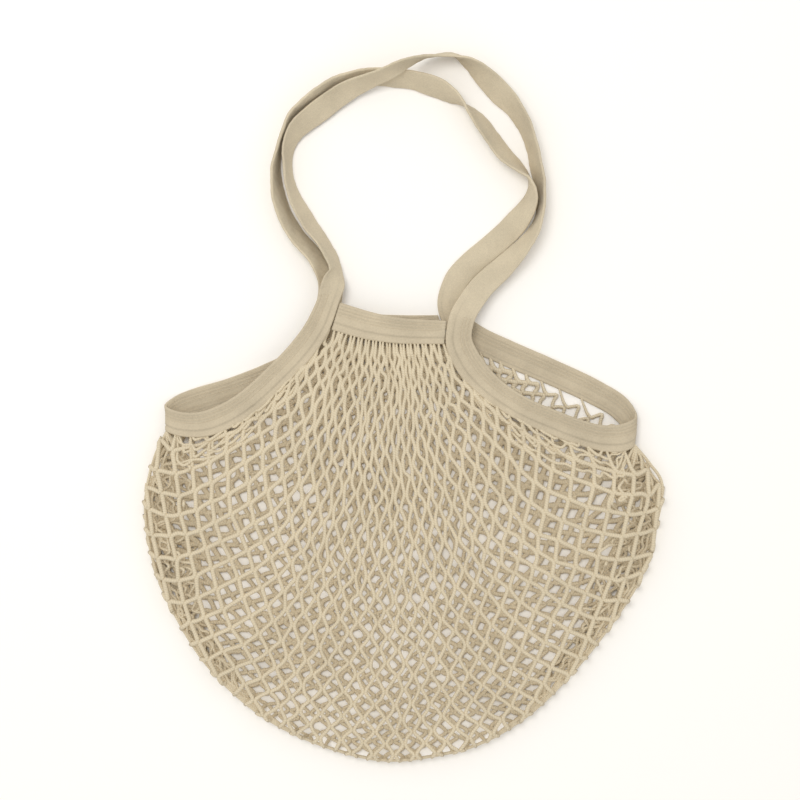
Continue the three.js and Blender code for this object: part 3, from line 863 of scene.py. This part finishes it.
# How deep the net is sewn in, and how near its knots come to the seam and to the fold
NET_SEAM_DEPTH = 2 * MM
SEAM_MARGIN = 5 * MM
FOLD_MARGIN = 2 * MM

# Lengths of net, from seam to fold, over which the fold opens to its full radius
FOLD_OPENS = (10 * MM, 60 * MM)

# Angles between which the net grows slack towards its sides, and how far in from the fold
SLACK_ANGLES = np.radians((20, 33))
SLACK_REACH = 34 * MM

# Angles between which the strands grow thicker towards the sides
SWELL_ANGLES = np.radians((4, 26))

# How much farther the meshes of the slack back layer wander, and how much thicker its strands are
BACK_SWAY = 1.2
BACK_STRAND = 1.08

# How far the net is gathered and pleated below the bands
GATHER_REACH = 130 * MM
PLEAT_REACH = 90 * MM

# Distances from the seam at which the meshes wander and crumple fully, the same from the fold for
# wandering, and the share of it that is left at the fold
SWAY_REACH = 40 * MM
CRUMPLE_REACH = 15 * MM
FOLD_SWAY_REACH = 30 * MM
FOLD_SWAY = 0.2

# Lengths of the waves that the meshes wander in, the shares of both and of single knots, and how much
# of the wandering is up and down
SWAY_WAVES = (80 * MM, 30 * MM)
SWAY_SHARES = (0.6, 0.2, 0.2)
SWAY_HEIGHT = 0.6

# Length of the patches in which the back strands are thicker or thinner
PATCH_LENGTH = 110 * MM

# How far loose bars bow: the share of their spare length and the most of it, and how much of that is
# sideways and up
BOW_SHARE = 0.25
BOW_MOST = 2 * MM
BOW_SIDEWAYS = 0.35
BOW_UP = (-0.1, 0.4)

# Thickness in strands where a strand is sewn in, at a knot, between knots, and where it lies along an
# edge
SEWN_STRAND = 0.45
KNOT_STRAND = 1.1
BAR_STRAND = 0.95
EDGE_STRAND = 0.85

# How far the sewn end of a strand is below the front seam
SEWN_DROP = 0.5 * MM

# Sides of a strand's cross section, and cross sections from one of its points to the next
STRAND_SIDES = 8
STRAND_STEPS = 3

# Strands along the fold: the angle from which they leave it, their spacing, and the length in which
# they spread out below the bindings
EDGE_ANGLE = np.radians(8)
EDGE_SPACING = 2.6 * MM
EDGE_SPREAD = 16 * MM

# Waves in their distance from the fold: lengths, size and limits
EDGE_WAVES = (40 * MM, 16 * MM)
EDGE_UNEVEN = 0.3
EDGE_WANDER = (0.3, 1.5)

# How far they rise or sink with that distance, and how uneven that is
EDGE_RISE = 0.25
EDGE_RISE_UNEVEN = 0.4

# Strands bunched along the front bindings: the angles between which they lie on the left and on the
# right, the first one's place in spacings, and the spacing away from the fan's centre, which is wider
# than across the tape
BUNCHED_ANGLES = np.radians([(-38, -19), (16.5, 39)])
BUNCHED_FIRST = 0.6
BUNCHED_SPACING = 6 * MM

# Lengths and sizes of their waves, how far they rise, and the share of each end that comes out from
# below the tape
BUNCHED_WAVES = (34 * MM, 13 * MM)
BUNCHED_UNEVEN = (0.35, 0.3)
BUNCHED_RISE = 0.8 * MM
BUNCHED_END = 0.2

# Points along each tape's seam, along the fold and along a bunched strand, and how many points of the
# fold lie from one point of an edge strand to the next
SEAM_STEPS = 400
OUTLINE_STEPS = 2000
BUNCHED_STEPS = 70
EDGE_STEP = 9


def seam_line(sections, start, end):
    """Points just inside a tape's net edge between two of its sections."""
    mouth, net = edges_of(sections)
    at = np.linspace(0, len(sections) - 1, len(net))
    picked = np.linspace(start, end, SEAM_STEPS)
    mouth, net = (rows_at(picked, at, edge) for edge in (mouth, net))
    return net + unit(mouth - net) * NET_SEAM_DEPTH


def fan_place(points):
    """Angles of places about the fan's centre, and their distances from it and heights."""
    x = points[:, 0] - FAN_CENTRE[0]
    y = FAN_CENTRE[1] - points[:, 1]
    return np.arctan2(x, y), (np.hypot(x, y), points[:, 2])


def fan_line(points):
    """Rising angles of a line's points about the fan's centre, and rows of their distances and
    heights."""
    angles, rows = fan_place(points)
    return np.maximum.accumulate(angles), np.stack(rows, axis=1)


class Layer:
    """One layer of the net, from its seam along the bindings and the band to the fold."""

    def __init__(self, front, settings):
        self.front = front
        side = "front" if front else "back"
        band = FRONT_BAND if front else BACK_BAND
        seam = np.vstack([
            seam_line(LEFT_BINDING, LEFT_MARKS["fold"], LEFT_MARKS[side]),
            seam_line(band, 0, len(band) - 1),
            seam_line(RIGHT_BINDING, RIGHT_MARKS[side], RIGHT_MARKS["fold"]),
        ])
        level = settings.strand / 2 + FOLD_RADIUS * MM
        bend = [(x * MM, y * MM, level) for x, y in FOLD_LINE]
        fold = spline(np.vstack([seam[:1], bend, seam[-1:]]), np.linspace(0, 1, OUTLINE_STEPS))
        self.outline = fold
        self.seam = fan_line(seam)
        self.fold = fan_line(fold)

    def edges(self, angle):
        """Distance and height of the seam, then of the fold, at angles about the fan's centre."""
        return [*rows_at(angle, *self.seam).T, *rows_at(angle, *self.fold).T]

    def place(self, angle, distance):
        """Places of the layer at angles about the fan's centre and distances from it."""
        seam, seam_z, fold, fold_z = (edge[:, None] for edge in self.edges(angle))
        reach = fold - seam
        share = np.clip((distance - seam) / reach, 0, 1)
        outward = 1 if self.front else -1
        radius = FOLD_RADIUS * MM * smoothstep(reach, *FOLD_OPENS)
        into_fold = np.clip(1 - (fold - distance) / np.maximum(radius, MM), 0, 1)
        height = seam_z + (fold_z + outward * radius - seam_z) * share
        height = height - outward * radius * (1 - np.sqrt(1 - into_fold**2))
        if self.front:
            loft = LOFT * MM * np.minimum(reach / (LOFT_LENGTH * MM), 1)
            height = height + loft * np.sin(math.pi * share) ** 2
        x = FAN_CENTRE[0] + distance * np.sin(angle)[:, None]
        y = FAN_CENTRE[1] - distance * np.cos(angle)[:, None]
        return np.stack([x, y, height], axis=-1)


class Net:
    """Knots of the net's two layers by column, from left to right, and by row, away from the bands."""

    def __init__(self, settings):
        self.settings = settings
        self.generator = np.random.default_rng(settings.seed)
        self.patches = wave_field(np.random.default_rng(settings.seed + 1), PATCH_LENGTH)
        self.layers = [Layer(True, settings), Layer(False, settings)]
        even = np.linspace(-1, 1, settings.columns + 1)
        share = (1 + even - settings.crowd * (even - even**3)) / 2
        self.angles = FAN_ANGLES[0] + (FAN_ANGLES[1] - FAN_ANGLES[0]) * share
        self.rows = [self.row_distances(layer) for layer in self.layers]
        self.side_way = np.stack([np.cos(self.angles), np.sin(self.angles), 0 * self.angles], axis=1)
        self.points, self.inside = zip(*[self.knots(layer) for layer in self.layers])

    def row_distances(self, layer):
        """Distances of a layer's rows from the fan's centre, such that the bars keep their length. Below
        the bands and in the back layer, which lies slack, the rows are closer."""
        sag = 0 if layer.front else self.settings.sag
        spacing = np.median(np.diff(self.angles))
        nearest = min(each.seam[1][:, 0].min() for each in self.layers)
        farthest = self.layers[0].fold[1][:, 0].max() + self.settings.slack
        rows = [nearest]
        while rows[-1] < farthest:
            taut = math.sqrt(self.settings.bar**2 - (spacing * rows[-1]) ** 2)
            loose = 1 - smoothstep(rows[-1] - nearest, 0, GATHER_REACH)
            rows.append(rows[-1] + taut * (1 - self.settings.gather * loose) * (1 - sag))
        return np.array(rows)

    def knots(self, layer):
        """Places of one layer's knots, and which of them lie between its seam and the fold."""
        settings = self.settings
        rows = self.rows[self.layers.index(layer)]
        sway = settings.sway * (1 if layer.front else BACK_SWAY)
        seam, _, fold, _ = (edge[:, None] for edge in layer.edges(self.angles))
        at_side = smoothstep(np.abs(self.angles), *SLACK_ANGLES)[:, None]
        slack = settings.slack * at_side
        left_to_fold = fold + slack - rows
        near_fold = np.exp(-np.maximum(left_to_fold, 0) / SLACK_REACH)
        distance = rows - slack * near_fold
        inside = (left_to_fold > FOLD_MARGIN) & (distance > seam + SEAM_MARGIN)
        points = layer.place(self.angles, distance)
        from_seam = distance - seam
        loose = smoothstep(from_seam, 0, SWAY_REACH)
        loose = loose * np.clip(left_to_fold / FOLD_SWAY_REACH, FOLD_SWAY, 1)
        crumple = settings.crumple * at_side * near_fold * smoothstep(from_seam, 0, CRUMPLE_REACH)
        x, y = points[..., 0].copy(), points[..., 1].copy()
        for axis, size in enumerate((1, 1, SWAY_HEIGHT)):
            waves = [wave_field(self.generator, length)(x, y) for length in SWAY_WAVES]
            waves.append(self.generator.normal(size=x.shape))
            shift = sway * loose * sum(part * wave for part, wave in zip(SWAY_SHARES, waves))
            points[..., axis] += size * (shift + crumple * self.generator.normal(size=x.shape))
        pleats = self.generator.normal(size=x.shape[:1])[:, None]
        points[..., 2] += settings.pleat * pleats * (1 - smoothstep(from_seam, 0, PLEAT_REACH))
        points[..., 2] = np.maximum(points[..., 2], settings.strand / 2)
        return points, inside

    def strand_knots(self, strand, index):
        """Columns and rows of a strand's knots in one layer. It meets its left and right neighbours in
        turn, and the back layer's knots lie between those of the front."""
        rows = np.arange(len(self.rows[index]))
        columns = strand + (strand + rows + index) % 2
        inner = np.flatnonzero(self.inside[index][columns, rows])
        runs = np.split(inner, np.flatnonzero(np.diff(inner) > 1) + 1)
        run = max(runs, key=len)
        return columns[run], run

    def strand_line(self, strand):
        """Points along one strand from the front seam round the fold to the back seam, with their
        thickness and the number of those before the fold."""
        radius = self.settings.strand / 2
        angle = self.angles[strand:strand + 2].mean()
        points, sizes = [], []

        def add(point, size, up):
            if points and size != SEWN_STRAND and sizes[-1] != SEWN_STRAND:
                gap = point - points[-1]
                slack = math.sqrt(max(self.settings.bar**2 - gap @ gap, 0)) * BOW_SHARE
                sideways = np.cross(unit(gap), up) * self.generator.normal(0, BOW_SIDEWAYS)
                bow = sideways + np.array(up) * self.generator.uniform(*BOW_UP)
                points.append(points[-1] + gap / 2 + bow * min(slack, BOW_MOST))
                sizes.append(BAR_STRAND)
            points.append(point)
            sizes.append(size)

        def end_at(layer, at_fold):
            seam, _, fold, _ = layer.edges([angle])
            point = layer.place(np.array([angle]), fold - radius if at_fold else seam)[0, 0]
            if not at_fold and layer.front:
                point[2] -= SEWN_DROP
            return point

        for index, layer in enumerate(self.layers):
            up = (0, 0, 1 if layer.front else -1)
            columns, rows = self.strand_knots(strand, index)
            knots = [
                self.points[index][c, r]
                + self.side_way[c] * radius * self.settings.knot * (1 if c == strand else -1)
                for c, r in zip(columns, rows)
            ]
            if layer.front:
                add(end_at(layer, False), SEWN_STRAND, up)
                for knot in knots:
                    add(knot, KNOT_STRAND, up)
                points.append(end_at(layer, True))
                sizes.append(BAR_STRAND)
                split = len(points) - 1
            else:
                for knot in knots[::-1]:
                    add(knot, KNOT_STRAND, up)
                add(end_at(layer, False), SEWN_STRAND, up)
        swell = 1 + self.settings.swell * smoothstep(abs(angle), *SWELL_ANGLES)
        points, sizes = np.array(points), np.array(sizes) * swell
        x, y, _ = points[split + 1:].T
        sizes[split + 1:] *= BACK_STRAND + self.settings.patches * self.patches(x, y)
        return points, sizes, split

    def edge_line(self, number):
        """Points of one strand that lies along the fold. The first follows it all the way, and the
        others wander in at the sides, where the net is bunched, no higher than the front layer."""
        outline = self.layers[0].outline[::EDGE_STEP]
        along = arc_lengths(outline)
        way = unit(np.gradient(outline, axis=0))
        inward = np.stack([-way[:, 1], way[:, 0], 0 * along], axis=1)
        angles = fan_place(outline)[0]
        at_side = smoothstep(np.abs(angles), EDGE_ANGLE, SLACK_ANGLES[1])
        from_end = smoothstep(np.minimum(along, along[-1] - along), 0, EDGE_SPREAD)
        waves = line_waves(self.generator, EDGE_WAVES, along)
        wander = np.clip(1 + EDGE_UNEVEN * waves[0] + EDGE_UNEVEN * waves[1], *EDGE_WANDER)
        depth = number * EDGE_SPACING * at_side * from_end * wander + self.settings.strand / 2
        points = outline + inward * depth[:, None]
        uneven = 1 + EDGE_RISE_UNEVEN * waves[1]
        points[:, 2] += (-1) ** number * EDGE_RISE * depth * at_side * uneven
        angle, (distance, _) = fan_place(points)
        front = self.layers[0].place(angle, distance[:, None])[:, 0, 2]
        points[:, 2] = np.minimum(points[:, 2], front + self.settings.strand / 2)
        return points

    def bunched_line(self, left, number):
        """Points of one strand that lies bunched along a front binding, and their thickness. It comes
        out from below the tape and goes back there at its ends."""
        layer = self.layers[0]
        share = np.linspace(0, 1, BUNCHED_STEPS)
        start, end = BUNCHED_ANGLES[0 if left else 1]
        angles = start + (end - start) * share
        seam = layer.edges(angles)[0]
        along = arc_lengths(layer.place(angles, seam[:, None])[:, 0])
        waves = line_waves(self.generator, BUNCHED_WAVES, along)
        shown = smoothstep(np.minimum(share, 1 - share), 0, BUNCHED_END)
        long_wave, short_wave = (part * wave for part, wave in zip(BUNCHED_UNEVEN, waves))
        depth = (number + BUNCHED_FIRST + long_wave + short_wave) * BUNCHED_SPACING * shown
        points = layer.place(angles, (seam + depth)[:, None])[:, 0]
        points[:, 2] += BUNCHED_RISE * waves[1] * shown - 2 * SEWN_DROP * (1 - shown)
        return points, SEWN_STRAND + (EDGE_STRAND - SEWN_STRAND) * shown

    def strands(self):
        """The strands as tubes, in one bundle for each half of each layer."""
        bundles = {(front, left): MeshParts() for front in (True, False) for left in (True, False)}
        for strand in range(self.settings.columns):
            points, sizes, split = self.strand_line(strand)
            left = strand < self.settings.columns / 2
            for front, part in ((True, slice(0, split + 1)), (False, slice(split, None))):
                self.add_strand(bundles[front, left], points, sizes, part)
        for number in range(self.settings.edge_strands):
            points = self.edge_line(number)
            sizes = np.full(len(points), EDGE_STRAND)
            middle = len(points) // 2
            for left, part in ((True, slice(0, middle + 1)), (False, slice(middle, None))):
                self.add_strand(bundles[number % 2 == 0, left], points, sizes, part)
        for number in range(self.settings.seam_strands):
            for left in (True, False):
                points, sizes = self.bunched_line(left, number)
                self.add_strand(bundles[True, left], points, sizes, slice(0, None))
        return bundles

    def add_strand(self, parts, points, sizes, part):
        """Adds the tube of part of a strand, which never leaves the fold's outline."""
        radius = self.settings.strand / 2
        spans = len(points) - 1
        at = np.linspace(0, spans, spans * STRAND_STEPS + 1)
        line = spline(points, at / spans)
        angle, (distance, _) = fan_place(line)
        fold = self.layers[0].edges(angle)[2]
        pull = np.maximum(distance - (fold - radius), 0)
        line[:, 0] -= pull * np.sin(angle)
        line[:, 1] += pull * np.cos(angle)
        size = radius * np.interp(at, np.arange(spans + 1), sizes)
        line[:, 2] = np.maximum(line[:, 2], size)
        way = unit(np.gradient(line, axis=0))
        side = carried_sides(way)
        rings = rings_round(line, size, side, np.cross(side, way), STRAND_SIDES)
        last = spans if part.stop is None else part.stop - 1
        kept = slice((part.start or 0) * STRAND_STEPS, last * STRAND_STEPS + 1)
        turn = np.linspace(0, 1, STRAND_SIDES + 1)
        parts.add_tube(rings[kept][:, ::-1], arc_lengths(line)[kept], turn)


# Stage

# Half the floor's width, the key lamp's diameter and place, the height at which the field is measured,
# and the camera's place in plan
FLOOR_REACH = 4.0
KEY_SIZE = 1.0
KEY_PLACE = (-0.4, 0.5, 1.9)
FIELD_LEVEL = 10 * MM
CAMERA_PLACE = (-2.7 * MM, 5.4 * MM)


def make_floor(settings):
    corners = FLOOR_REACH * np.array([(-1, -1, 0), (1, -1, 0), (1, 1, 0), (-1, 1, 0)])
    material = bpy.data.materials.new("pale_floor")
    material.use_nodes = True
    shader = material.node_tree.nodes["Principled BSDF"]
    shader.inputs["Base Color"].default_value = (*settings.floor_colour, 1)
    shader.inputs["Roughness"].default_value = 0.9
    uvs = [(0, 0), (1, 0), (1, 1), (0, 1)]
    new_object("floor", corners, [[0, 1, 2, 3]], uvs, material)


def make_light(settings):
    scene = bpy.context.scene
    scene.world = bpy.data.worlds.new("studio")
    scene.world.use_nodes = True
    background = scene.world.node_tree.nodes["Background"]
    background.inputs["Color"].default_value = (1, 1, 1, 1)
    background.inputs["Strength"].default_value = settings.sky
    lamp = bpy.data.lights.new("key", "AREA")
    lamp.shape = "DISK"
    lamp.size = KEY_SIZE
    lamp.energy = settings.key
    key = bpy.data.objects.new("key", lamp)
    key.location = KEY_PLACE
    aim = -key.location
    key.rotation_mode = "QUATERNION"
    key.rotation_quaternion = aim.to_track_quat("-Z", "Y")
    scene.collection.objects.link(key)
    scene.view_settings.view_transform = "Standard"


def make_camera(settings):
    scene = bpy.context.scene
    data = bpy.data.cameras.new("camera")
    data.lens = data.sensor_width * settings.camera_height / settings.field
    camera = bpy.data.objects.new("camera", data)
    camera.location = (*CAMERA_PLACE, settings.camera_height + FIELD_LEVEL)
    scene.collection.objects.link(camera)
    scene.camera = camera


# Operators

class BAG_OT_bands(bpy.types.Operator):
    """Makes the two bands that gather the net between the handle roots"""

    bl_idname = "bag.bands"
    bl_label = "Bands"

    def execute(self, context):
        settings = context.scene.bag_tape
        generator = np.random.default_rng(settings.seed)
        stitches = MeshParts()
        for name, sections in (("front_band", FRONT_BAND), ("back_band", BACK_BAND)):
            mouth, net = even_stations(*edges_of(sections), settings)
            tape = Tape(mouth, net, settings, generator)
            make_tape(name, tape, 0, len(mouth) - 1)
            tape.add_stitches(stitches, 0, tape.length)
        settle(stitches.object("band_stitches", thread_material(settings)), TAPE_SLOT)
        return {"FINISHED"}


class BAG_OT_loop(bpy.types.Operator):
    """Makes the long tape of the side bindings and the handles"""

    bl_idname = "bag.loop"
    bl_label = "Bindings and handles"

    def execute(self, context):
        settings = context.scene.bag_tape
        tape, spans = loop_tape(settings, np.random.default_rng(settings.seed + 1))
        stitches = MeshParts()
        for name, (start, end) in spans.items():
            make_tape(name, tape, start, end)
            if name.endswith("binding"):
                tape.add_stitches(stitches, start * settings.station, end * settings.station)
        settle(stitches.object("binding_stitches", thread_material(settings)), TAPE_SLOT)
        return {"FINISHED"}


class BAG_OT_net(bpy.types.Operator):
    """Makes the knitted net, front and back layer"""

    bl_idname = "bag.net"
    bl_label = "Net"

    def execute(self, context):
        settings = context.scene.bag_net
        material = net_material(settings)
        for (front, left), parts in Net(settings).strands().items():
            name = "net_{}_{}".format("front" if front else "back", "left" if left else "right")
            obj = settle(parts.object(name, material), NET_SLOT, "net_pouch")
            # The loose yarn of the front lets the lamp's light through to the back layer
            obj.visible_shadow = not front
        return {"FINISHED"}


class BAG_OT_stage(bpy.types.Operator):
    """Makes the pale floor, the soft light and the camera straight above the bag"""

    bl_idname = "bag.stage"
    bl_label = "Stage"

    def execute(self, context):
        settings = context.scene.bag_stage
        make_floor(settings)
        make_light(settings)
        make_camera(settings)
        return {"FINISHED"}


# Panel and registration

class BAG_PT_panel(bpy.types.Panel):
    """Lists the bag's pieces and their sizes"""

    bl_idname = "BAG_PT_panel"
    bl_label = "Cotton Net Bag"
    bl_space_type = "VIEW_3D"
    bl_region_type = "UI"
    bl_category = "Net Bag"

    def draw(self, context):
        for operator in OPERATORS:
            self.layout.operator(operator.bl_idname)
        for group in SETTINGS:
            box = self.layout.box()
            settings = getattr(context.scene, group)
            for name in settings.__annotations__:
                box.prop(settings, name)


SETTINGS = {"bag_tape": BagTapeSettings, "bag_net": BagNetSettings, "bag_stage": BagStageSettings}
OPERATORS = (BAG_OT_stage, BAG_OT_bands, BAG_OT_loop, BAG_OT_net)
CLASSES = (*SETTINGS.values(), *OPERATORS, BAG_PT_panel)


def register():
    for each in CLASSES:
        bpy.utils.register_class(each)
    for name, group in SETTINGS.items():
        setattr(bpy.types.Scene, name, PointerProperty(type=group))


def unregister():
    for name in SETTINGS:
        delattr(bpy.types.Scene, name)
    for each in reversed(CLASSES):
        bpy.utils.unregister_class(each)


def main():
    register()
    bpy.ops.bag.stage()
    bpy.ops.bag.bands()
    bpy.ops.bag.loop()
    bpy.ops.bag.net()


if __name__ == "__main__":
    main()
